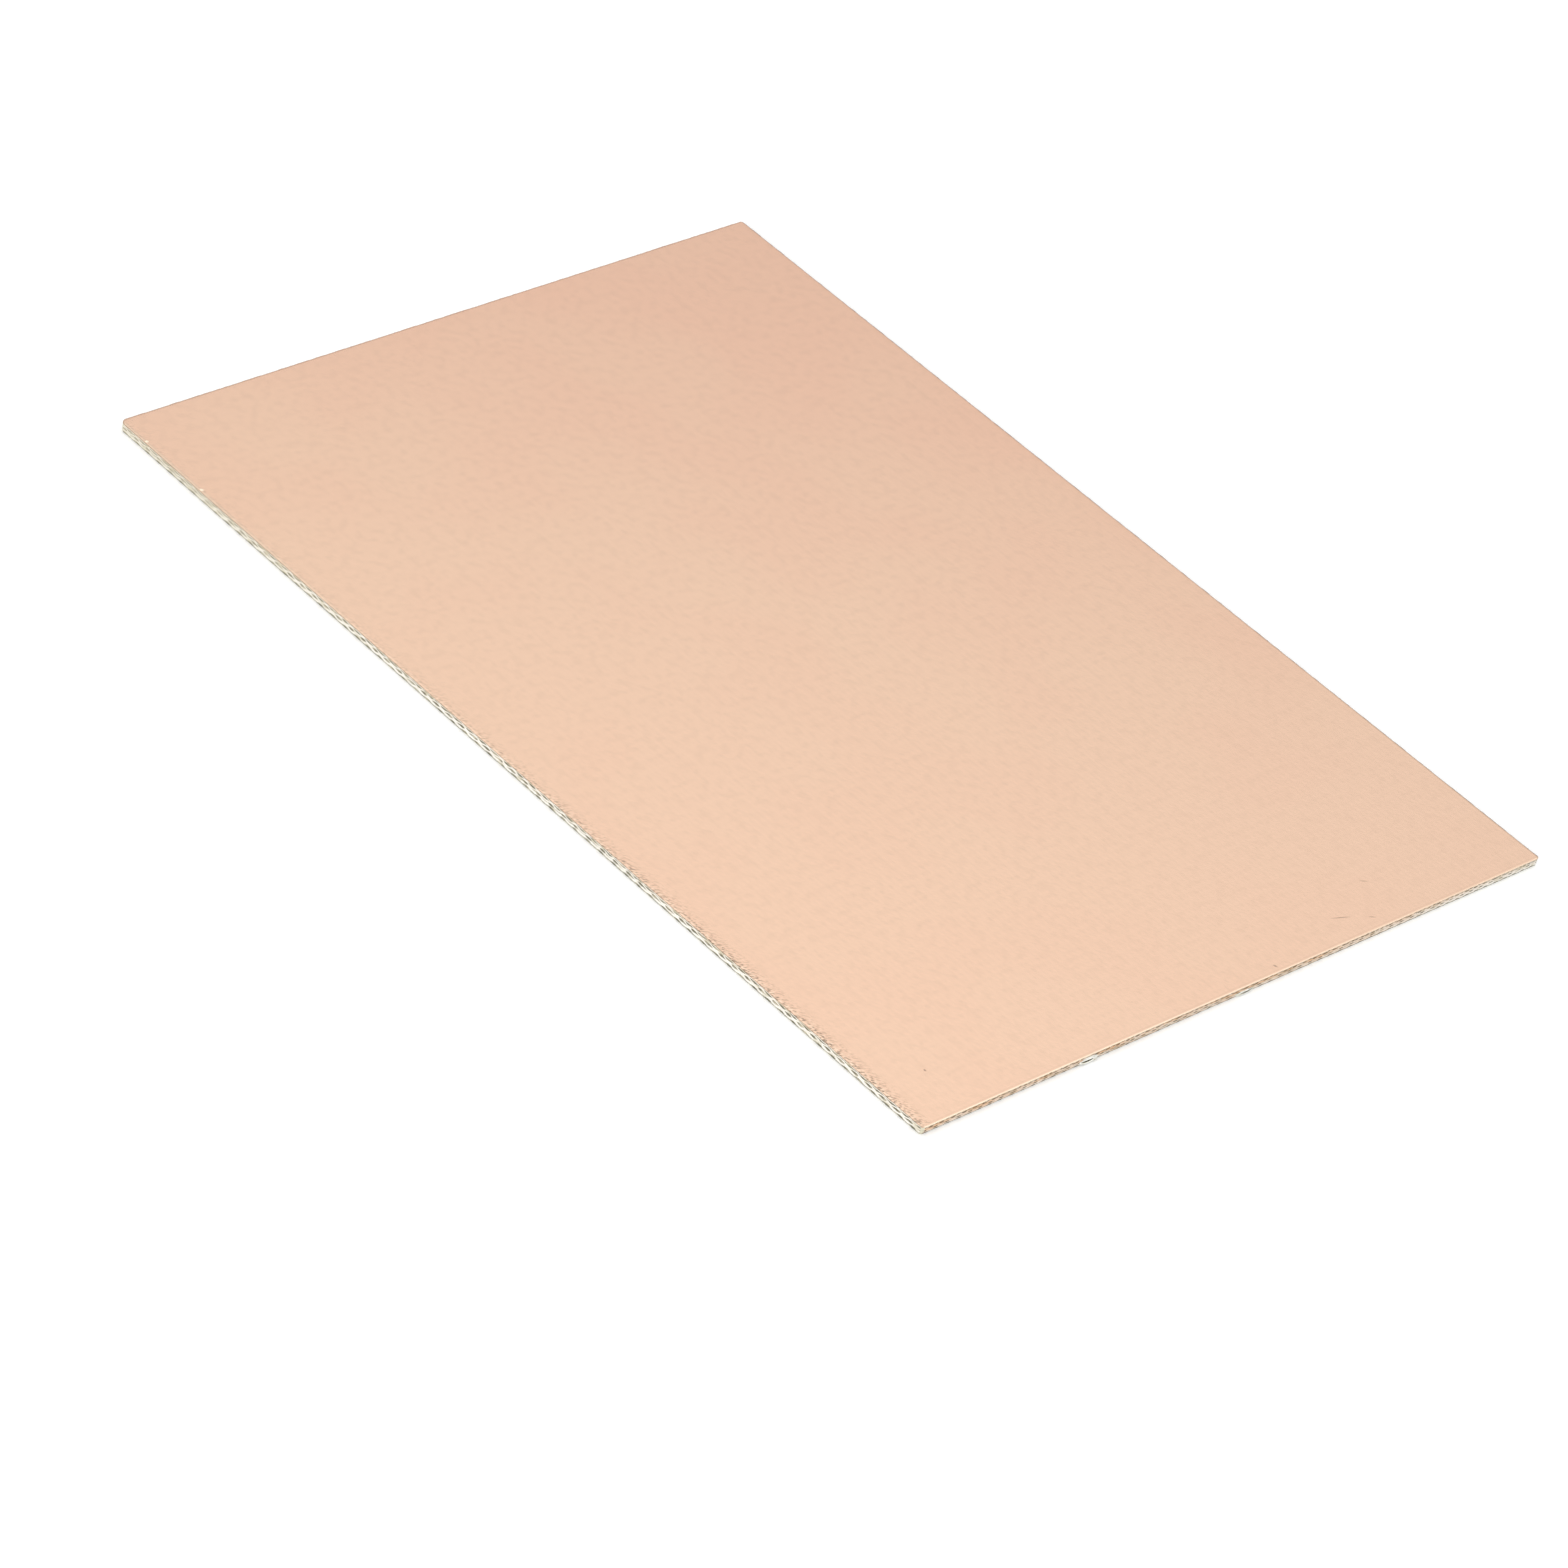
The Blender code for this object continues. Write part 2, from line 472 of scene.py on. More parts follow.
def blob(tree, in_mm, centre, half_size, angle=0.0):
    """1 at the centre of an ellipsoid, fading to 0 at its surface. It is turned about Z by the angle."""
    mapped = add_node(
        tree,
        "ShaderNodeMapping",
        {"Vector": in_mm, "Location": centre, "Rotation": (0, 0, angle), "Scale": half_size},
        vector_type="TEXTURE",
    ).outputs[0]
    inputs = {"Vector": mapped}
    return add_node(tree, "ShaderNodeTexGradient", inputs, gradient_type="SPHERICAL").outputs["Fac"]


def marks(tree, in_mm, places):
    """1 in the middle of each mark, fading to 0 at its outline."""
    shape = 0.0
    for mark in places:
        centre = (mark.x, mark.y, BOARD_TOP / MM)
        half_size = (mark.length / 2, mark.width / 2, 1)
        shape = larger(tree, shape, blob(tree, in_mm, centre, half_size, radians(mark.angle)))
    return shape


def copper_foil_material(foil):
    """Electrodeposited copper foil, pressed on: a satin metal with the cloth's weave faintly in it."""
    material, tree, shader, in_mm = new_material("electrodeposited_copper_foil", 1.0, foil.roughness)
    place = add_node(tree, "ShaderNodeSeparateXYZ", {0: in_mm})
    x, y = place.outputs[0], place.outputs[1]

    # A redder shade in blotches as wide as a finger. Towards the far left corner it is painted shade:
    # the deeper tone of the copper's dimmer reflection there
    blotch = noise(tree, in_mm, (1 / 14, 1 / 14, 1 / 14), 1.0)
    far_left = add_node(
        tree,
        "ShaderNodeVectorMath",
        {0: in_mm, 1: (-0.7, 0.7, 0.0)},
        operation="DOT_PRODUCT",
    ).outputs["Value"]
    redder = clamped_sum(
        tree,
        ramp_between(tree, far_left, -15.0, 60.0),
        ramp_between(tree, blotch, 0.35, 0.65, -0.15, 0.15),
    )
    colour = mix_colours(tree, redder, opaque(foil.colour), opaque(foil.warm_colour))

    # The clamp and the blade scuffed the millimetre beside the long near edge, worst by its right end,
    # in short strokes that run inwards from it. They are drawn coarser than real ones, which are too
    # fine to show. Each stroke pairs a dark scuff, partly its painted shadow, with a painted highlight.
    rim = -BOARD_WIDTH / 2 / MM
    towards_right = ramp_between(tree, x, -35.0, 45.0, 0.2, 1.0)
    near_rim = ramp_between(tree, y, rim + 0.25, rim + 0.55, 0.9, 0.3)
    near_rim = times(tree, near_rim, ramp_between(tree, y, rim + 0.6, rim + 1.4, 1.0, 0.0))
    scuffed = times(tree, near_rim, towards_right)
    strokes_at = add_node(
        tree,
        "ShaderNodeMapping",
        {"Vector": in_mm, "Rotation": (0, 0, radians(38)), "Scale": (0.36, 0.12, 1)},
        vector_type="TEXTURE",
    ).outputs[0]
    strokes = noise(tree, strokes_at, (1.0, 1.0, 1.0), 2.0)
    scuff_and_shadow = times(tree, scuffed, ramp_between(tree, strokes, 0.54, 0.59))
    painted_gleam = times(tree, scuffed, ramp_between(tree, strokes, 0.44, 0.36))
    colour = mix_colours(tree, scuff_and_shadow, colour, opaque(foil.scuff_and_shade_colour))
    colour = mix_colours(tree, times(tree, painted_gleam, 0.6), colour, opaque(foil.painted_highlight_colour))

    # The rims: the blade tore the long near one, most towards its left end, and dulled the far ones.
    # The short near one gets a painted cream highlight, with painted shade just inside it
    torn = times(
        tree,
        ramp_between(tree, y, rim + 0.1, rim + 0.4, 1.0, 0.0),
        ramp_between(tree, x, -45.0, -10.0, 0.4, 0.16),
    )
    colour = mix_colours(tree, torn, colour, opaque(foil.torn_colour))
    end = BOARD_LENGTH / 2 / MM
    far_rims = larger(
        tree,
        ramp_between(tree, y, -rim - 0.1, -rim - 0.05, 0.0, 0.8),
        ramp_between(tree, x, -end + 0.1, -end + 0.05, 0.0, 0.45),
    )
    # Painted shade on a band just inside the short near rim, to tone down the bright top of the dome
    # that it mirrors
    painted_shade_beside_rim = ramp_between(tree, x, end - 0.4, end - 0.2, 0.0, 0.12)
    dulled_and_shaded = larger(tree, far_rims, painted_shade_beside_rim)
    colour = mix_colours(tree, dulled_and_shaded, colour, opaque(foil.scuff_and_shade_colour))
    painted_rim_highlight = times(
        tree,
        ramp_between(tree, x, end - 0.13, end - 0.08),
        ramp_between(tree, y, -30.0, 30.0, 0.75, 0.4),
    )
    colour = mix_colours(tree, painted_rim_highlight, colour, opaque(foil.painted_highlight_colour))

    # Faint worn patches all over, under a millimetre wide
    worn = noise(tree, in_mm, (1 / 0.9, 1 / 0.9, 1 / 0.9), 3.0)
    colour = mix_colours(
        tree,
        ramp_between(tree, worn, 0.4, 0.75, 0.0, 0.055),
        colour,
        opaque(foil.scuff_and_shade_colour),
    )

    # Scratches, painted glints where the lip was lifted, and two small stains
    scratch = marks(tree, in_mm, SCRATCHES)
    colour = mix_colours(tree, times(tree, scratch, 0.8), colour, opaque(foil.scuff_and_shade_colour))
    painted_glint = ramp_between(tree, marks(tree, in_mm, GLINTS), 0.0, 0.5)
    colour = mix_colours(tree, painted_glint, colour, opaque(foil.painted_highlight_colour))
    stain = marks(tree, in_mm, STAINS)
    colour = mix_colours(tree, stain, colour, opaque(foil.scuff_and_shade_colour))
    tree.links.new(colour, shader.inputs["Base Color"])

    # Relief: weave of the cloth, stronger to the right, over the foil's own grain
    weave = weave_relief(tree, in_mm)
    weave_strength = ramp_between(tree, x, -50.0, 50.0, 0.25, 1.0)
    grain = noise(tree, in_mm, (1 / 0.16, 1 / 0.16, 1 / 0.16), 2.0)
    bumps = (
        (grain, 1.0, 0.0028 * MM),
        (times(tree, weave, weave_strength), 1.0, 0.0015 * MM),
        (scuff_and_shadow, 1.0, 0.004 * MM),
    )
    normal = None
    for height, strength, distance in bumps:
        inputs = {"Height": height, "Strength": strength, "Distance": distance}
        if normal:
            inputs["Normal"] = normal
        normal = add_node(tree, "ShaderNodeBump", inputs).outputs[0]
    tree.links.new(normal, shader.inputs["Normal"])
    return material


# The slit in each burst, in millimetres: its middle, and half its size with the torn lips round it
SLITS = (
    ((50.12, -17.4, 0.40), (0.4, 0.8, 0.11)),
    ((50.08, 0.5, 0.28), (0.3, 0.9, 0.07)),
)


def laminate_material(yarn):
    """Woven glass in epoxy, as pressed: a yellowish green sheet that the cloth shows in.

    Its cut sides are streaked like the yarns that cover them.
    """
    material, tree, shader, in_mm = new_material("woven_glass_epoxy_laminate", 0.0, 0.42)
    weave = weave_relief(tree, in_mm)
    colour = mix_colours(
        tree,
        ramp_between(tree, weave, 0.1, 0.8, 0.0, 0.4),
        opaque(yarn.resin_colour),
        opaque(yarn.wet_colour),
    )
    cloud = noise(tree, in_mm, (1 / 9, 1 / 9, 1 / 9), 2.0)
    colour = mix_colours(
        tree,
        ramp_between(tree, cloud, 0.4, 0.75, 0.0, 0.14),
        colour,
        opaque(yarn.cut_end_and_shade_colour),
    )

    # The cut, between the yarns that stand out of it: dark streaks in a pale ground
    streaks = noise(tree, in_mm, (1 / 0.6, 1 / 0.6, 1 / 0.12), 1.0)
    cut_colour = mix_colours(
        tree,
        ramp_between(tree, streaks, 0.42, 0.58),
        opaque(yarn.cut_end_and_shade_colour),
        opaque(yarn.wet_colour),
    )
    facing = add_node(tree, "ShaderNodeSeparateXYZ", {0: tree.nodes["coordinates"].outputs["Normal"]})
    level = add_node(tree, "ShaderNodeMath", {0: facing.outputs[2]}, operation="ABSOLUTE").outputs[0]
    on_cut = ramp_between(tree, level, 0.9, 0.7)
    # The corners, which no yarn covers, are pale all over
    place = add_node(tree, "ShaderNodeSeparateXYZ", {0: in_mm})
    across, along = (
        add_node(tree, "ShaderNodeMath", {0: place.outputs[i]}, operation="ABSOLUTE").outputs[0]
        for i in (0, 1)
    )
    outward = add_node(tree, "ShaderNodeMath", {0: across, 1: along}, operation="ADD").outputs[0]
    corner = (BOARD_LENGTH + BOARD_WIDTH) / 2 / MM
    cut_colour = mix_colours(
        tree,
        ramp_between(tree, outward, corner - 0.9, corner - 0.6, 0.0, 0.85),
        cut_colour,
        opaque(yarn.wet_colour),
    )
    colour = mix_colours(tree, on_cut, colour, cut_colour)

    # The bursts: torn glass that stands out past the cut. Their slits get painted shade, in the dark
    # olive of the cut ends
    end = CORE_HALF_LENGTH / MM
    burst = ramp_between(tree, place.outputs[0], end - 0.02, end + 0.01)
    torn_colour = mix_colours(
        tree,
        ramp_between(tree, streaks, 0.45, 0.65),
        opaque(yarn.fibre_colour),
        opaque(yarn.wet_colour),
    )
    colour = mix_colours(tree, burst, colour, torn_colour)
    slit_shade = 0.0
    for centre, half_size in SLITS:
        slit_shade = larger(tree, slit_shade, blob(tree, in_mm, centre, half_size))
    slit_shade = ramp_between(tree, slit_shade, 0.05, 0.2)
    colour = mix_colours(tree, slit_shade, colour, opaque(yarn.cut_end_and_shade_colour))
    tree.links.new(colour, shader.inputs["Base Color"])
    relief = add_node(
        tree,
        "ShaderNodeBump",
        {"Height": weave, "Strength": 1.0, "Distance": 0.003 * MM},
    )
    tree.links.new(relief.outputs[0], shader.inputs["Normal"])
    return material


def yarn_material(yarn, name, dust_and_reflection):
    """Glass yarn laid open by the cut: white where its fibres stand free, buff where epoxy holds."""
    material, tree, shader, in_mm = new_material(name, 0.0, 0.5)
    height = add_node(tree, "ShaderNodeSeparateXYZ", {0: in_mm}).outputs[2]
    patches = noise(tree, in_mm, (1 / 0.9, 1 / 0.9, 1 / 0.5), 2.0)
    # The blade pressed the upper part smooth and tore the lower part, apart from its foot
    torn = times(
        tree,
        ramp_between(tree, height, 0.65, 0.4, 0.6, 1.0),
        ramp_between(tree, height, 0.08, 0.16, 0.1, 1.0),
    )
    free = clamped_sum(tree, torn, ramp_between(tree, patches, 0.34, 0.5, -0.7, 0.3))
    colour = mix_colours(tree, free, opaque(yarn.wet_colour), opaque(yarn.fibre_colour))
    # Bundles of fibres. Single ones are 0.009 mm thick, too fine to show.
    fibres = noise(tree, in_mm, (1 / 0.6, 1 / 0.6, 1 / 0.025), 1.0)
    colour = mix_colours(
        tree,
        ramp_between(tree, fibres, 0.5, 0.7, 0.0, 0.35),
        colour,
        opaque(yarn.bundle_and_foot_shade_colour),
    )
    # Painted shadow: grey at the foot of the cut, where the board meets the floor
    colour = mix_colours(
        tree,
        ramp_between(tree, height, 0.15, 0.06, 0.0, 0.9),
        colour,
        opaque(yarn.bundle_and_foot_shade_colour),
    )
    colour = tint_with_dust_and_reflection(tree, in_mm, yarn, dust_and_reflection, colour)
    tree.links.new(colour, shader.inputs["Base Color"])
    relief = add_node(
        tree,
        "ShaderNodeBump",
        {"Height": fibres, "Strength": 1.0, "Distance": 0.006 * MM},
    )
    tree.links.new(relief.outputs[0], shader.inputs["Normal"])
    return material


def cut_end_material(yarn, name, dust_and_reflection):
    """Severed yarn ends in epoxy: dull olive, as light goes down the fibres, with paler patches."""
    material, tree, shader, in_mm = new_material(name, 0.0, 0.45)
    patches = noise(tree, in_mm, (1 / 0.8, 1 / 0.8, 1 / 0.4), 1.0)
    colour = mix_colours(
        tree,
        ramp_between(tree, patches, 0.45, 0.75, 0.0, 0.7),
        opaque(yarn.cut_end_and_shade_colour),
        opaque(yarn.wet_colour),
    )
    colour = tint_with_dust_and_reflection(tree, in_mm, yarn, dust_and_reflection, colour)
    tree.links.new(colour, shader.inputs["Base Color"])
    return material


def tint_with_dust_and_reflection(tree, in_mm, yarn, dust_and_reflection, colour):
    """Tints the cut with this share of copper colour, in patches: copper dust, and on the right edge
    mostly a painted reflection of copper-coloured light.

    Less of it towards the board's far side. Towards the left, epoxy still covers the glass.
    """
    place = add_node(tree, "ShaderNodeSeparateXYZ", {0: in_mm})
    covered = times(
        tree,
        ramp_between(tree, place.outputs[0], -5.0, -48.0, 0.0, 0.5),
        ramp_between(tree, place.outputs[2], 0.06, 0.16),
    )
    colour = mix_colours(tree, covered, colour, opaque(yarn.wet_colour))
    patches = noise(tree, in_mm, (1 / 2.5, 1 / 2.5, 1 / 0.4), 1.0)
    low_share = ramp_between(tree, place.outputs[1], 5.0, 33.0, 0.6 * dust_and_reflection, 0.1 * dust_and_reflection)
    high_share = ramp_between(tree, place.outputs[1], 10.0, 34.0, dust_and_reflection, 0.4 * dust_and_reflection)
    copper_tinted = add_node(
        tree,
        "ShaderNodeMapRange",
        {0: place.outputs[2], 1: 0.1, 2: 0.65, 3: low_share, 4: high_share},
        interpolation_type="SMOOTHSTEP",
    ).outputs[0]
    copper_tinted = times(tree, copper_tinted, ramp_between(tree, patches, 0.3, 0.7, 0.6, 1.0))
    tint = mix_colours(tree, copper_tinted, (1.0, 1.0, 1.0, 1.0), opaque(yarn.dust_and_reflection_colour))
    # Painted shadow: a dark brown band right under the foil's lip
    painted_lip_shadow = ramp_between(tree, place.outputs[2], 0.63, 0.7, 0.0, 0.6 * dust_and_reflection)
    tint = mix_colours(tree, painted_lip_shadow, tint, opaque(yarn.lip_shadow_colour))
    mix = add_node(
        tree,
        "ShaderNodeMix",
        {0: 1.0, 6: colour, 7: tint},
        data_type="RGBA",
        blend_type="MULTIPLY",
    )
    return mix.outputs[2]


def loose_glass_material(yarn):
    """Glass fibres torn out of the epoxy: a soft white, with gaps of shadow between them."""
    material, tree, shader, in_mm = new_material("torn_glass_fibre", 0.0, 0.4)
    streaks = noise(tree, in_mm, (1 / 0.35, 1 / 0.35, 1 / 0.35), 2.0)
    colour = mix_colours(
        tree,
        ramp_between(tree, streaks, 0.55, 0.8),
        opaque(yarn.fibre_colour),
        opaque(yarn.wet_colour),
    )
    height = add_node(tree, "ShaderNodeSeparateXYZ", {0: in_mm}).outputs[2]
    # Painted shade: grey along the lower edge of the tuft
    colour = mix_colours(
        tree,
        ramp_between(tree, height, 0.14, 0.05, 0.0, 0.9),
        colour,
        opaque(yarn.bundle_and_foot_shade_colour),
    )
    tree.links.new(colour, shader.inputs["Base Color"])
    return material


# The foil's edges are divided in two rounds, as one round makes no more than 100 cuts. The second makes
# this many steps of each step of the first. The flat top is cut into squares of this size.
FINE_STEPS = 20
FLAT_SQUARE = 5 * MM


class BOARD_OT_foil(bpy.types.Operator):
    """Builds the copper foil with its dragged rim"""

    bl_idname = "board.foil"
    bl_label = "Copper foil"

    def execute(self, context):
        settings = context.scene.board_foil
        deselect_all()
        bpy.ops.mesh.primitive_plane_add(size=1, location=(0, 0, RIM_FOOT))
        foil = context.object
        bpy.ops.transform.resize(value=(BOARD_LENGTH, BOARD_WIDTH, 1))
        apply_place()
        start_edit()
        corners = {(x, y): CORNER_RADIUS for x in (-1, 1) for y in (-1, 1)}
        corners[-1, -1] = BLUNT_CORNER_RADIUS
        for (side_x, side_y), radius in corners.items():
            at = Vector((side_x * BOARD_LENGTH / 2, side_y * BOARD_WIDTH / 2, 0))
            select_where("verts", lambda v: (v.co.xy - at.xy).length < radius / 2)
            bpy.ops.mesh.bevel(offset=radius, segments=8, affect="VERTICES")

        # Points along the straight edges, close enough for a ragged lip
        select_where("edges", lambda e: e.calc_length() > 10 * MM)
        bpy.ops.mesh.subdivide(number_cuts=settings.rim_steps // FINE_STEPS - 1)
        select_where("edges", lambda e: e.calc_length() > 2 * MM)
        bpy.ops.mesh.subdivide(number_cuts=FINE_STEPS - 1)

        # The wall that the foil hangs down, then its roll, which is beveled round and pressed flat
        hang = BOARD_TOP - RIM_FOOT
        bpy.ops.mesh.select_all(action="SELECT")
        bpy.ops.mesh.extrude_region_move(TRANSFORM_OT_translate={"value": (0, 0, hang - ROLL_DROP)})
        bpy.ops.mesh.extrude_region_move(TRANSFORM_OT_translate={"value": (0, 0, ROLL_WIDTH)})
        land = BOARD_TOP - ROLL_DROP
        select_where("faces", lambda f: f.normal.z > 0.9 and f.calc_center_median().z > land)
        bpy.ops.mesh.region_to_loop()
        bpy.ops.mesh.bevel(
            offset=0.98 * ROLL_WIDTH,
            offset_type="OFFSET",
            segments=10,
            profile=0.5,
            affect="EDGES",
            clamp_overlap=False,
        )
        select_where("verts", lambda v: v.co.z > land + 0.001 * MM)
        bpy.ops.transform.resize(
            value=(1, 1, ROLL_DROP / ROLL_WIDTH),
            center_override=(0, 0, land),
        )

        # Cuts through the flat top: one beside the roll on each side, so that the flat shades flat, then
        # a grid, so that no face on it is long and thin
        for half, axis in ((BOARD_LENGTH / 2, Vector((1, 0, 0))), (BOARD_WIDTH / 2, Vector((0, 1, 0)))):
            beside_roll = half - ROLL_WIDTH - 0.08 * MM
            squares = int(half / FLAT_SQUARE)
            lines = [line * FLAT_SQUARE for line in range(1 - squares, squares)]
            for place in (-beside_roll, beside_roll, *lines):
                select_where("faces", lambda f: f.normal.z > 0.99999)
                bpy.ops.mesh.bisect(plane_co=place * axis, plane_no=axis, threshold=CUT_THRESHOLD)
        select_where("faces", lambda f: f.normal.z < -0.9)
        bpy.ops.mesh.delete(type="ONLY_FACE")
        bpy.ops.object.mode_set(mode="OBJECT")

        # The lip: what lies lower was dragged less evenly
        lip = foil.vertex_groups.new(name="lip")
        for vertex in foil.data.vertices:
            drop = (BOARD_TOP - vertex.co.z) / hang
            if drop > 0.05:
                lip.add([vertex.index], drop**2, "REPLACE")
        for name, size, strength in (("drag", 0.9, settings.drag), ("nicks", 0.3, 0.8 * settings.drag)):
            apply_modifier(
                "DISPLACE",
                texture=cloud_texture(name, size * MM),
                vertex_group="lip",
                direction="Z",
                strength=strength,
                mid_level=0.5,
            )
        apply_modifier(
            "DISPLACE",
            texture=cloud_texture("bites", 0.5 * MM),
            vertex_group="lip",
            direction="NORMAL",
            strength=settings.bite,
            mid_level=1.0,
        )
        foil.vertex_groups.clear()
        apply_modifier("SOLIDIFY", thickness=FOIL_THICKNESS, offset=-1)
        bpy.ops.object.shade_smooth_by_angle(angle=radians(50))
        dress(foil, "foil_sheet", copper_foil_material(settings))
        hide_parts("copper_foil")
        return {"FINISHED"}


class BOARD_OT_laminate(bpy.types.Operator):
    """Gives the laminate its finish"""

    bl_idname = "board.laminate"
    bl_label = "Laminate"

    def execute(self, context):
        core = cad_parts["glass_epoxy_core"]
        core.data.materials.clear()
        core.data.materials.append(laminate_material(context.scene.board_yarn))
        return {"FINISHED"}


def step_at(side, share, z):
    """How far in the broken slope lies at a share of the edge's length and at a height."""
    foot = side.steps[0] * (1 - share) + side.steps[1] * share
    return foot * max(0.0, 1 - z / BREAK_HEIGHT)


def repeat_along(side, unit, row, shift):
    """Repeats a unit that is one wave long from corner to corner, in the row's place."""
    wave = 2 * side.spacing * row.drift
    count = int(2 * side.half_run / wave) + 2
    first = step_at(side, 0.0, row.z)
    last = step_at(side, 1.0, row.z)
    unit.location = (-side.half_run - shift * wave, -side.half_across + first, row.z)
    apply_place()
    apply_modifier(
        "ARRAY",
        count=count,
        use_relative_offset=False,
        use_constant_offset=True,
        constant_offset_displace=(wave, (last - first) / (count - 1), 0),
        use_merge_vertices=True,
        merge_threshold=WELD_DISTANCE,
    )


def join(pieces):
    """Joins the pieces into the first one."""
    deselect_all()
    for piece in pieces:
        piece.select_set(True)
    bpy.context.view_layer.objects.active = pieces[0]
    bpy.ops.object.join()
    return pieces[0]


def cut_off(place, direction):
    """In edit mode, cuts off what lies beyond the plane and closes the cut."""
    bpy.ops.mesh.select_all(action="SELECT")
    bpy.ops.mesh.bisect(
        plane_co=place,
        plane_no=direction,
        clear_outer=True,
        use_fill=True,
        threshold=CUT_THRESHOLD,
    )


def rough_rows(context, side, rows):
    """Joins an edge's rows, breaks up their run, trims them to the edge and turns them to its side."""
    settings = context.scene.board_yarn
    yarns = join(rows)
    for name, size, direction, strength in (
        ("stretch", 3.5, "X", settings.stretch),
        ("wander", 2.2, "Z", settings.wander),
        ("tear", 0.45, "Z", 0.6 * settings.wander),
        ("depth", 0.7, "Y", 0.3 * settings.proud),
    ):
        apply_modifier(
            "DISPLACE",
            texture=cloud_texture(name, size * MM),
            direction=direction,
            strength=strength,
            mid_level=0.5,
        )
    # Trimmed where the corners round off, a hair above the underside, and inside the foil's lip
    start_edit()
    for end, radius in zip((-1, 1), side.corners):
        cut_off((end * (side.half_run - 0.8 * radius), 0, 0), (end, 0, 0))
    cut_off((0, 0, 0.005 * MM), (0, 0, -1))
    cut_off((0, 0, RIM_FOOT + FOIL_THICKNESS), (0, 0, 1))
    bpy.ops.object.mode_set(mode="OBJECT")
    yarns.rotation_euler = (0, 0, side.turn)
    apply_place()
    bpy.ops.object.shade_smooth_by_angle(angle=radians(60))
    return yarns


def row_shifts(side):
    """Where in its wave each row starts. Plies are laid up by chance, so no two rows agree."""
    draws = random.Random(side.name)
    return [draws.uniform(0.0, 1.0) for _ in side.rows]


def lay_yarns(context, build_unit, clean, copper_tinted, kind):
    """Lays one kind of yarn along the four edges, with the smeared material on the right one."""
    for side in SIDES:
        rows = []
        for row, shift in zip(side.rows, row_shifts(side)):
            unit = build_unit(context, row, side.spacing * row.drift)
            repeat_along(side, unit, row, shift)
            rows.append(unit)
        yarns = rough_rows(context, side, rows)
        material = copper_tinted if side.name == "right" else clean
        dress(yarns, f"{side.name}_{kind}_yarns", material)


class BOARD_OT_running_yarns(bpy.types.Operator):
    """Builds the yarns that run along the four cut edges"""

    bl_idname = "board.running_yarns"
    bl_label = "Running yarns"

    def one_wave(self, context, row, spacing):
        """One wave of a yarn along X, half sunk in the cut, over one severed yarn and under the next."""
        settings = context.scene.board_yarn
        length = 2 * spacing
        deselect_all()
        bpy.ops.mesh.primitive_cylinder_add(
            vertices=6,
            radius=0.5,
            depth=1,
            end_fill_type="NOTHING",
            rotation=(0, pi / 2, 0),
        )
        bpy.ops.transform.resize(value=(length, 2 * settings.proud, row.height))
        context.object.location.x = length / 2
        apply_place()
        steps = 12
        start_edit()
        select_where("edges", lambda e: abs(e.verts[0].co.x - e.verts[1].co.x) > length / 2)
        bpy.ops.mesh.subdivide(number_cuts=steps - 1)
        for step in range(steps + 1):
            at = length * step / steps
            swing = row.swing * cos(tau * step / steps)
            select_where("verts", lambda v: abs(v.co.x - at) < length / steps / 4)
            bpy.ops.transform.translate(value=(0, 0, swing))
        bpy.ops.object.mode_set(mode="OBJECT")
        return context.object

    def execute(self, context):
        settings = context.scene.board_yarn
        clean = yarn_material(settings, "sheared_glass_yarn", 0.2)
        copper_tinted = yarn_material(settings, "smeared_glass_yarn", 1.0)
        lay_yarns(context, self.one_wave, clean, copper_tinted, "running")
        return {"FINISHED"}


class BOARD_OT_severed_yarns(bpy.types.Operator):
    """Builds the ends of the yarns that the blade severed"""

    bl_idname = "board.severed_yarns"
    bl_label = "Severed yarns"

    def one_pair(self, context, row, spacing):
        """Two yarn ends: one below the running yarn's crest, one above its trough."""
        settings = context.scene.board_yarn
        ends = []
        height = row.severed_height
        gap = row.height / 2 + height / 2 - row.swing
        for at, lift in ((0.0, -gap), (spacing, gap)):
            deselect_all()
            bpy.ops.mesh.primitive_uv_sphere_add(segments=8, ring_count=6, radius=0.5)
            bpy.ops.transform.resize(value=(0.85 * spacing, 1.5 * settings.proud, height))
            context.object.location = (at, 0, max(lift, 0.6 * height - row.z))
            apply_place()
            start_edit()
            cut_off((0, 0.3 * settings.proud, 0), (0, 1, 0))
            bpy.ops.object.mode_set(mode="OBJECT")
            ends.append(context.object)
        return join(ends)

    def execute(self, context):
        settings = context.scene.board_yarn
        clean = cut_end_material(settings, "severed_glass_yarn", 0.2)
        copper_tinted = cut_end_material(settings, "smeared_severed_yarn", 1.0)
        lay_yarns(context, self.one_pair, clean, copper_tinted, "severed")
        return {"FINISHED"}


# Bursts of the right edge, as in the solids: the middle of each along Y and Z, its depth, half its
# length, half its height, and how much less it stands out than the tall one. Then how many fibres stand
# loose in it.
Burst = namedtuple("Burst", "name y z depth half_length half_height back fibres")
BURSTS = (
    Burst("tall", -17.1 * MM, 0.32 * MM, 0.2 * MM, 1.2 * MM, 0.3 * MM, 0.0, 90),
    Burst("low", 0.3 * MM, 0.22 * MM, 0.2 * MM, 1.3 * MM, 0.2 * MM, 0.04 * MM, 60),
)


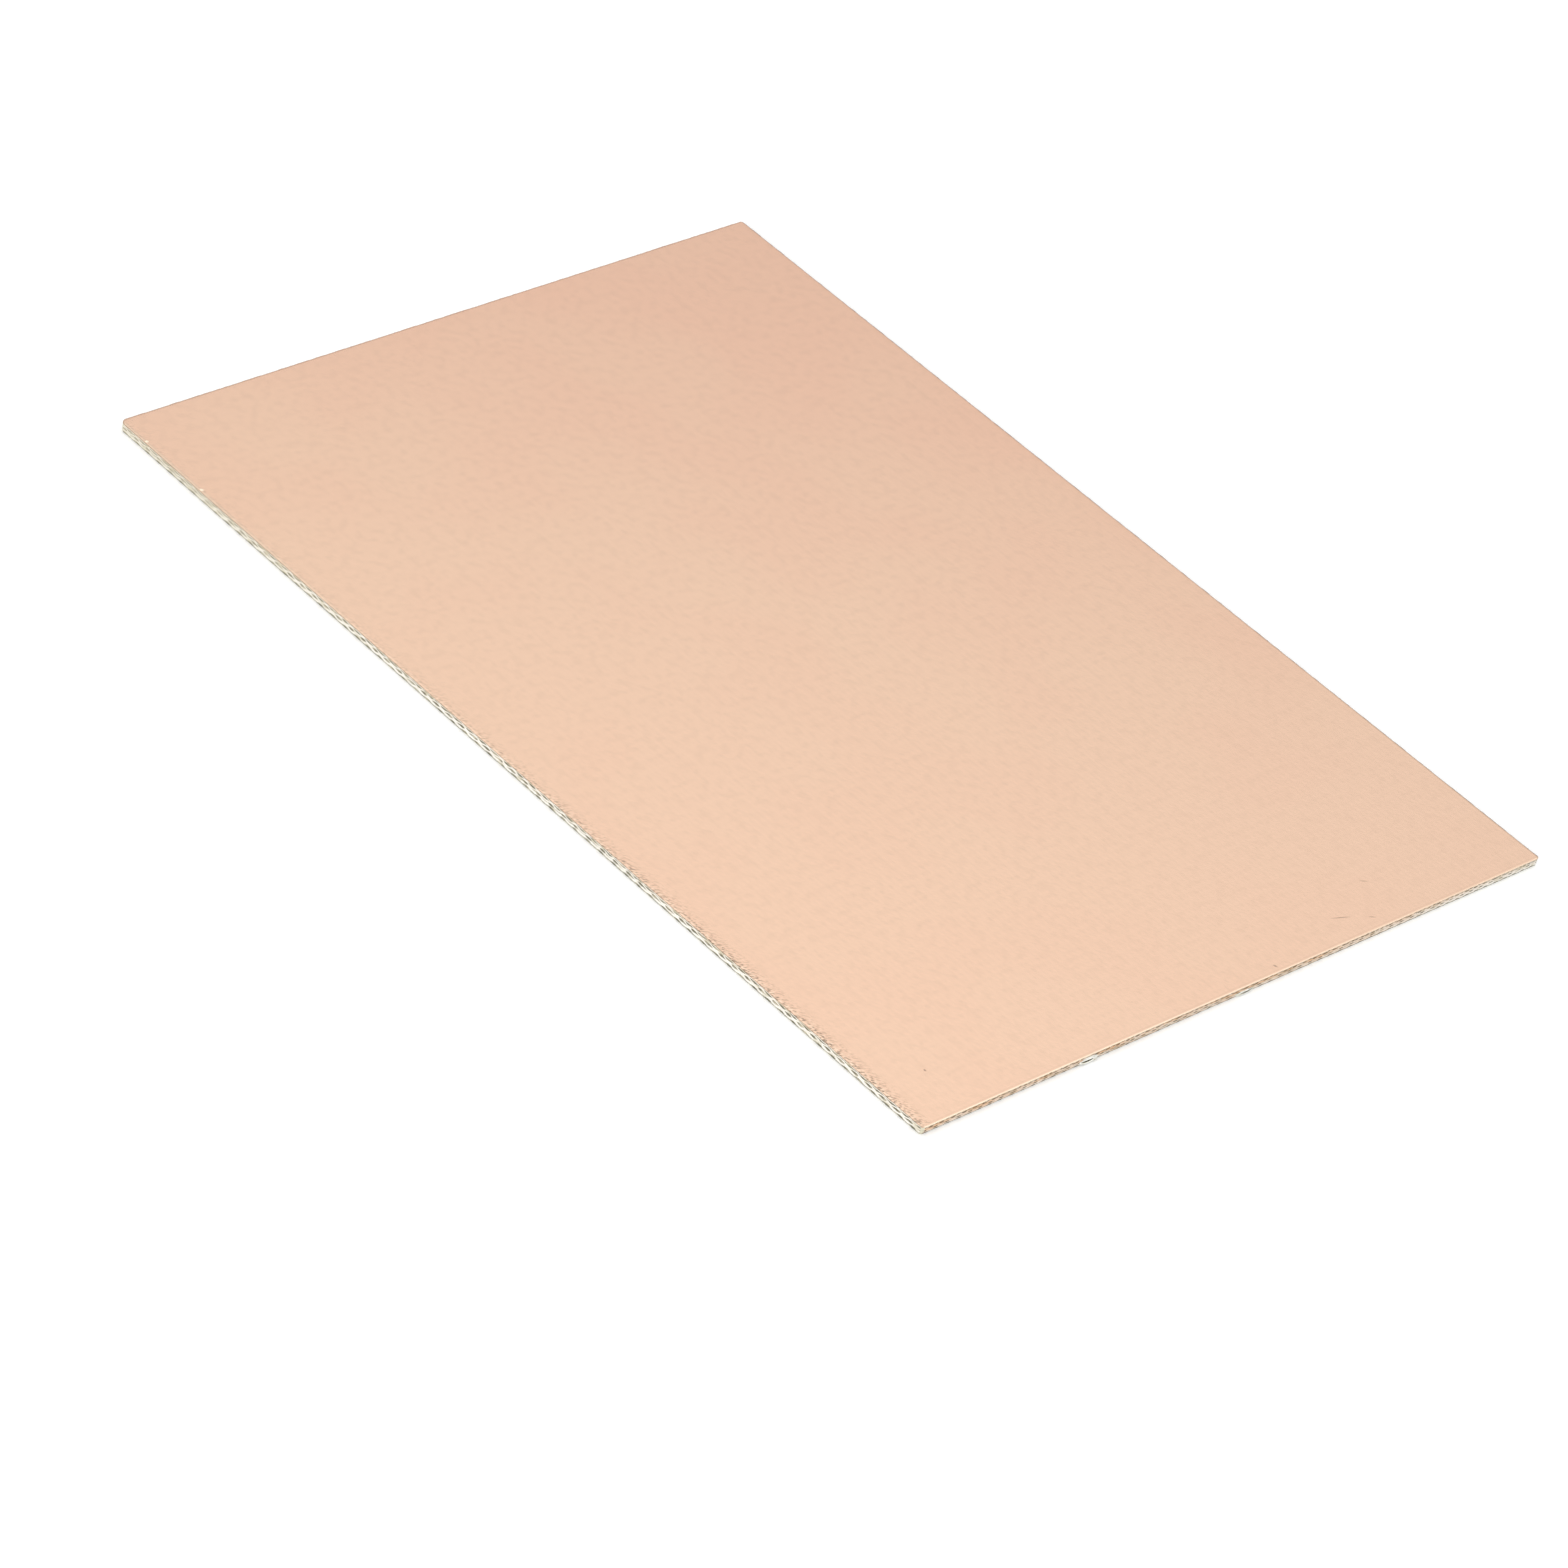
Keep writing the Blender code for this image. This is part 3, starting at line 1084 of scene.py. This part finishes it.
class BOARD_OT_loose_glass(bpy.types.Operator):
    """Builds the glass fibres that stand loose in the two bursts"""

    bl_idname = "board.loose_glass"
    bl_label = "Loose glass"

    def one_fibre(self, context):
        """A fibre from -1 to 1 along Y that bows out by 1 along X, thin at its ends."""
        deselect_all()
        bpy.ops.mesh.primitive_cylinder_add(
            vertices=5,
            radius=0.06,
            depth=2,
            end_fill_type="TRIFAN",
            rotation=(pi / 2, 0, 0),
        )
        apply_place()
        steps = 10
        start_edit()
        select_where("edges", lambda e: abs(e.verts[0].co.y - e.verts[1].co.y) > 1)
        bpy.ops.mesh.subdivide(number_cuts=steps - 1)
        for step in range(steps + 1):
            at = 2 * step / steps - 1
            select_where("verts", lambda v: abs(v.co.y - at) < 0.5 / steps)
            thin = max(0.3, 1 - at**2)
            bpy.ops.transform.resize(value=(thin, 1, thin), center_override=(0, at, 0))
            bpy.ops.transform.translate(value=(1 - at**2, 0, 0))
        bpy.ops.object.mode_set(mode="OBJECT")
        return context.object

    def execute(self, context):
        material = loose_glass_material(context.scene.board_yarn)
        for burst in BURSTS:
            draws = random.Random(burst.name)
            pattern = self.one_fibre(context)
            centre = BURST_REACH - burst.depth - burst.back
            fibres = []
            for _ in range(burst.fibres):
                fibre = pattern.copy()
                fibre.data = pattern.data.copy()
                context.scene.collection.objects.link(fibre)
                share = draws.uniform(0.35, 1.0)
                slide = draws.uniform(-1.0, 1.0) * (1 - share) * burst.half_length
                # Above and below the slit, which stays open, and no further out than the burst's middle
                angle = radians(draws.choice((draws.uniform(-70, -12), draws.uniform(30, 75))))
                turn = Matrix.Rotation(-angle, 4, "Y")
                reach = min(draws.uniform(0.98, 1.1), 0.93 / cos(angle))
                size = (reach * burst.depth, share * burst.half_length, reach * burst.half_height)
                place = Matrix.Translation((centre, burst.y + slide, burst.z))
                fibre.data.transform(place @ Matrix.Diagonal((*size, 1)) @ turn)
                fibres.append(fibre)
            bpy.data.objects.remove(pattern, do_unlink=True)
            tuft = join(fibres)
            bpy.ops.object.shade_smooth()
            dress(tuft, f"{burst.name}_burst_fibres", material)
        return {"FINISHED"}


FLOOR_SIZE = 6
FLOOR_BELOW_BOARD = 0.01 * MM
SOFTBOX_SIZE = 0.6
SOFTBOX_DISTANCE = 1.2

# A direction is an azimuth, from 0 in front of the long near edge, and an elevation, both in degrees.
# The dome is brightest towards its top. A lamp has a power in watts, and says whether the copper mirrors
# it: the strong one would burn out there.
DOME_TOP = (220, 65)
Softbox = namedtuple("Softbox", "name azimuth elevation power mirrored")
SOFTBOXES = (
    Softbox("front_softbox", 25, 22, 6.4, False),
    Softbox("rim_softbox", 147, 40, 0.9, True),
)


def place_on_sphere(azimuth, elevation, distance):
    """The point this far from the board's middle in this direction."""
    azimuth, elevation = radians(azimuth), radians(elevation)
    level = cos(elevation)
    return distance * Vector((sin(azimuth) * level, -cos(azimuth) * level, sin(elevation)))


class BOARD_OT_studio(bpy.types.Operator):
    """Builds the floor, the light and the camera"""

    bl_idname = "board.studio"
    bl_label = "Studio"

    def add_floor(self, context):
        settings = context.scene.board_studio
        deselect_all()
        # Below the board by a hair, so that the two surfaces don't coincide
        bpy.ops.mesh.primitive_grid_add(
            x_subdivisions=4,
            y_subdivisions=4,
            size=FLOOR_SIZE,
            location=(0, 0, -FLOOR_BELOW_BOARD),
        )
        floor = context.object
        floor.name = "floor"
        material, tree, shader, in_mm = new_material("white_paper_sweep", 0.0, 0.9)
        fibre = noise(tree, in_mm, (0.5, 0.5, 0.5), 2.0)
        colour = mix_colours(
            tree,
            times(tree, fibre, 0.04),
            opaque(settings.floor_colour),
            (1.0, 1.0, 1.0, 1.0),
        )
        tree.links.new(colour, shader.inputs["Base Color"])
        # White paper in the picture, and in what metal mirrors of it
        path = add_node(tree, "ShaderNodeLightPath")
        seen = larger(tree, path.outputs["Is Camera Ray"], path.outputs["Is Glossy Ray"])
        seen = larger(tree, seen, path.outputs["Is Transmission Ray"])
        shader.inputs["Emission Color"].default_value = (1, 1, 1, 1)
        tree.links.new(times(tree, seen, 0.2), shader.inputs["Emission Strength"])
        floor.data.materials.append(material)

    def add_dome(self, context):
        """Soft light from all round, brighter above and behind the board."""
        settings = context.scene.board_studio
        world = bpy.data.worlds.new("studio_dome")
        context.scene.world = world
        world.use_nodes = True
        tree = world.node_tree
        direction = add_node(tree, "ShaderNodeTexCoord").outputs["Generated"]
        towards = place_on_sphere(*DOME_TOP, 1.0)
        facing = add_node(
            tree,
            "ShaderNodeVectorMath",
            {0: direction, 1: towards},
            operation="DOT_PRODUCT",
        ).outputs["Value"]
        glow = ramp_between(tree, facing, 0.8, 0.93, settings.dome_low, settings.dome_high)
        background = tree.nodes["Background"]
        background.inputs["Color"].default_value = (1, 1, 1, 1)
        tree.links.new(glow, background.inputs["Strength"])

    def add_softbox(self, context, softbox):
        data = bpy.data.lights.new(softbox.name, "AREA")
        data.shape = "SQUARE"
        data.size = SOFTBOX_SIZE
        data.energy = softbox.power
        lamp = bpy.data.objects.new(softbox.name, data)
        lamp.location = place_on_sphere(softbox.azimuth, softbox.elevation, SOFTBOX_DISTANCE)
        lamp.rotation_euler = lamp.location.to_track_quat("Z", "Y").to_euler()
        lamp.visible_glossy = softbox.mirrored
        context.scene.collection.objects.link(lamp)

    def add_camera(self, context):
        settings = context.scene.board_studio
        data = bpy.data.cameras.new("camera")
        data.lens = settings.lens
        data.sensor_width = 36
        data.clip_start = 0.01
        data.clip_end = 20
        camera = bpy.data.objects.new("camera", data)
        camera.matrix_world = (
            Matrix.Translation(settings.aim)
            @ Matrix.Rotation(settings.azimuth, 4, "Z")
            @ Matrix.Rotation(pi / 2 - settings.elevation, 4, "X")
            @ Matrix.Rotation(settings.roll, 4, "Z")
            @ Matrix.Translation((0, 0, settings.distance))
        )
        context.scene.collection.objects.link(camera)
        context.scene.camera = camera

    def execute(self, context):
        self.add_floor(context)
        self.add_dome(context)
        for softbox in SOFTBOXES:
            self.add_softbox(context, softbox)
        self.add_camera(context)
        context.scene.view_settings.view_transform = "Standard"
        return {"FINISHED"}


class BOARD_PT_panel(bpy.types.Panel):
    """Steps that dress the board"""

    bl_idname = "BOARD_PT_panel"
    bl_label = "Copper clad board"
    bl_space_type = "VIEW_3D"
    bl_region_type = "UI"
    bl_category = "Board"

    def draw(self, context):
        for step in STEPS:
            self.layout.operator(step.bl_idname)


STEPS = (
    BOARD_OT_foil,
    BOARD_OT_laminate,
    BOARD_OT_running_yarns,
    BOARD_OT_severed_yarns,
    BOARD_OT_loose_glass,
    BOARD_OT_studio,
)
SETTINGS = {
    "board_foil": FoilSettings,
    "board_yarn": YarnSettings,
    "board_studio": StudioSettings,
}


def register():
    for kind in (*SETTINGS.values(), *STEPS, BOARD_PT_panel):
        bpy.utils.register_class(kind)
    for name, kind in SETTINGS.items():
        setattr(bpy.types.Scene, name, PointerProperty(type=kind))


def unregister():
    for name in SETTINGS:
        delattr(bpy.types.Scene, name)
    for kind in reversed((*SETTINGS.values(), *STEPS, BOARD_PT_panel)):
        bpy.utils.unregister_class(kind)


def main():
    register()
    for step in STEPS:
        group, name = step.bl_idname.split(".")
        getattr(getattr(bpy.ops, group), name)()
    deselect_all()


if __name__ == "__main__":
    main()
